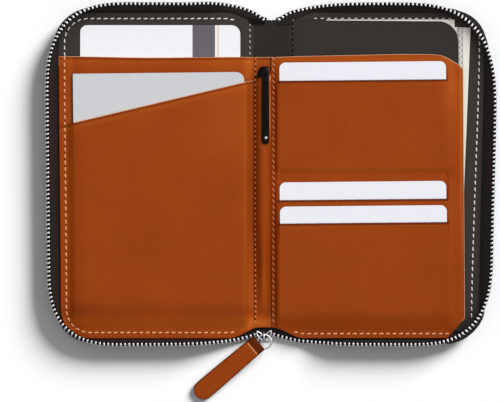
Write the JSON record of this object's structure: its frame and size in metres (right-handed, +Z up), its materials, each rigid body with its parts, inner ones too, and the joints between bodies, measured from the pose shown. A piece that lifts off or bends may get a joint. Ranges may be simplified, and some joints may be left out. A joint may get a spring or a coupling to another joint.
{
  "type": "travel document organizer",
  "caption": "Zip-round leather folio lying open, with pockets for a passport, ticket, cards and notes, a pen tunnel in the spine and a leather zip pull.",
  "frame": {"origin": "on the outer face of the spine, midway between the two fold lines", "axes": "+X across the open folio towards the card side, +Y up the page away from the pull tab, +Z up out of the open folio; it lies on its back"},
  "size_m": [0.2346, 0.207, 0.0118],
  "materials": {
    "tan_leather": "smooth semi-gloss tan leather with painted dark edges",
    "dark_lining": "matt charcoal lining cloth",
    "board": "grey stiffening board, hidden",
    "zip_tape": "woven near-black polyester tape",
    "nickel": "bright nickel plate on brass and zinc",
    "pen_black": "gloss black lacquer",
    "passport_grey": "silver-grey satin cover stock",
    "page_paper": "off-white paper leaves",
    "white_paper": "white ticket card",
    "card_white": "satin white PVC",
    "note_paper": "cream note paper"
  },
  "bodies": {
    "spine": {"spine_cover": "tan_leather", "spine_lining": "dark_lining", "chain_end_top_left": "nickel", "chain_end_top_right": "nickel", "chain_end_bottom_left": "nickel", "chain_end_bottom_right": "nickel", "tape_bridge": "zip_tape", "slider": "nickel", "spine_strip": "tan_leather", "pen_tunnel": "tan_leather", "leaf_strip": "tan_leather"},
    "left_cover": {"cover_left": "tan_leather", "board_left": "board", "lining_left": "dark_lining", "zip_tape_left": "zip_tape", "zip_chain_left": "nickel", "ticket_pocket": "tan_leather", "slant_pocket": "tan_leather"},
    "right_cover": {"cover_right": "tan_leather", "board_right": "board", "lining_right": "dark_lining", "zip_tape_right": "zip_tape", "zip_chain_right": "nickel", "divider": "dark_lining"},
    "card_leaf_body": {"card_leaf": "tan_leather"},
    "ring": {"pull_ring": "nickel"},
    "tab": {"pull_tab": "tan_leather"},
    "pen": {"pen_barrel": "pen_black", "pen_cap": "pen_black", "pen_tip": "nickel", "pen_clip": "pen_black"},
    "passport": {"passport_cover": "passport_grey", "passport_pages": "page_paper"},
    "ticket_body": {"ticket": "white_paper"},
    "card_1_body": {"card_1": "card_white"},
    "card_2_body": {"card_2": "card_white"},
    "card_3_body": {"card_3": "card_white"},
    "note_front_body": {"note_front": "note_paper"},
    "note_rear_body": {"note_rear": "note_paper"}
  },
  "joints": [
    {"name": "left_fold", "type": "hinge", "parent": "spine", "child": "left_cover", "pos_m": [-0.0112, 0, 0.0041], "axis": [0, 1, 0], "range_deg": [0, 90]},
    {"name": "right_fold", "type": "hinge", "parent": "spine", "child": "right_cover", "pos_m": [0.0112, 0, 0.0041], "axis": [0, -1, 0], "range_deg": [0, 90]},
    {"name": "leaf_fold", "type": "hinge", "parent": "spine", "child": "card_leaf_body", "pos_m": [0.0033, 0, 0.0063], "axis": [0, -1, 0], "range_deg": [0, 90]},
    {"name": "ring_swing", "type": "hinge", "parent": "spine", "child": "ring", "pos_m": [-0.00355, -0.08185, 0.00485], "axis": [1, 0, 0], "range_deg": [-60, 0]},
    {"name": "tab_swing", "type": "hinge", "parent": "ring", "child": "tab", "pos_m": [-0.00633, -0.08774, 0.00485], "axis": [0.6361, -0.7716, 0], "range_deg": [-60, 0]},
    {"name": "pen_slide", "type": "slide", "parent": "spine", "child": "pen", "axis": [0, 1, 0], "range_m": [0, 0.115]},
    {"name": "passport_slide", "type": "slide", "parent": "left_cover", "child": "passport", "axis": [0, 1, 0], "range_m": [0, 0.028]},
    {"name": "ticket_slide", "type": "slide", "parent": "left_cover", "child": "ticket_body", "axis": [0, 1, 0], "range_m": [0, 0.004]},
    {"name": "card_1_slide", "type": "slide", "parent": "card_leaf_body", "child": "card_1_body", "axis": [0, 1, 0], "range_m": [0, 0.02]},
    {"name": "card_2_slide", "type": "slide", "parent": "card_leaf_body", "child": "card_2_body", "axis": [0, 1, 0], "range_m": [0, 0.004]},
    {"name": "card_3_slide", "type": "slide", "parent": "card_leaf_body", "child": "card_3_body", "axis": [0, 1, 0], "range_m": [0, 0.05]},
    {"name": "note_front_slide", "type": "slide", "parent": "right_cover", "child": "note_front_body", "axis": [0, 1, 0], "range_m": [0, 0.002]},
    {"name": "note_rear_slide", "type": "slide", "parent": "right_cover", "child": "note_rear_body", "axis": [0, 1, 0], "range_m": [0, 0.002]}
  ],
  "couplings": [
    {"joint": "leaf_fold", "follows": "right_fold", "ratio": 1}
  ]
}
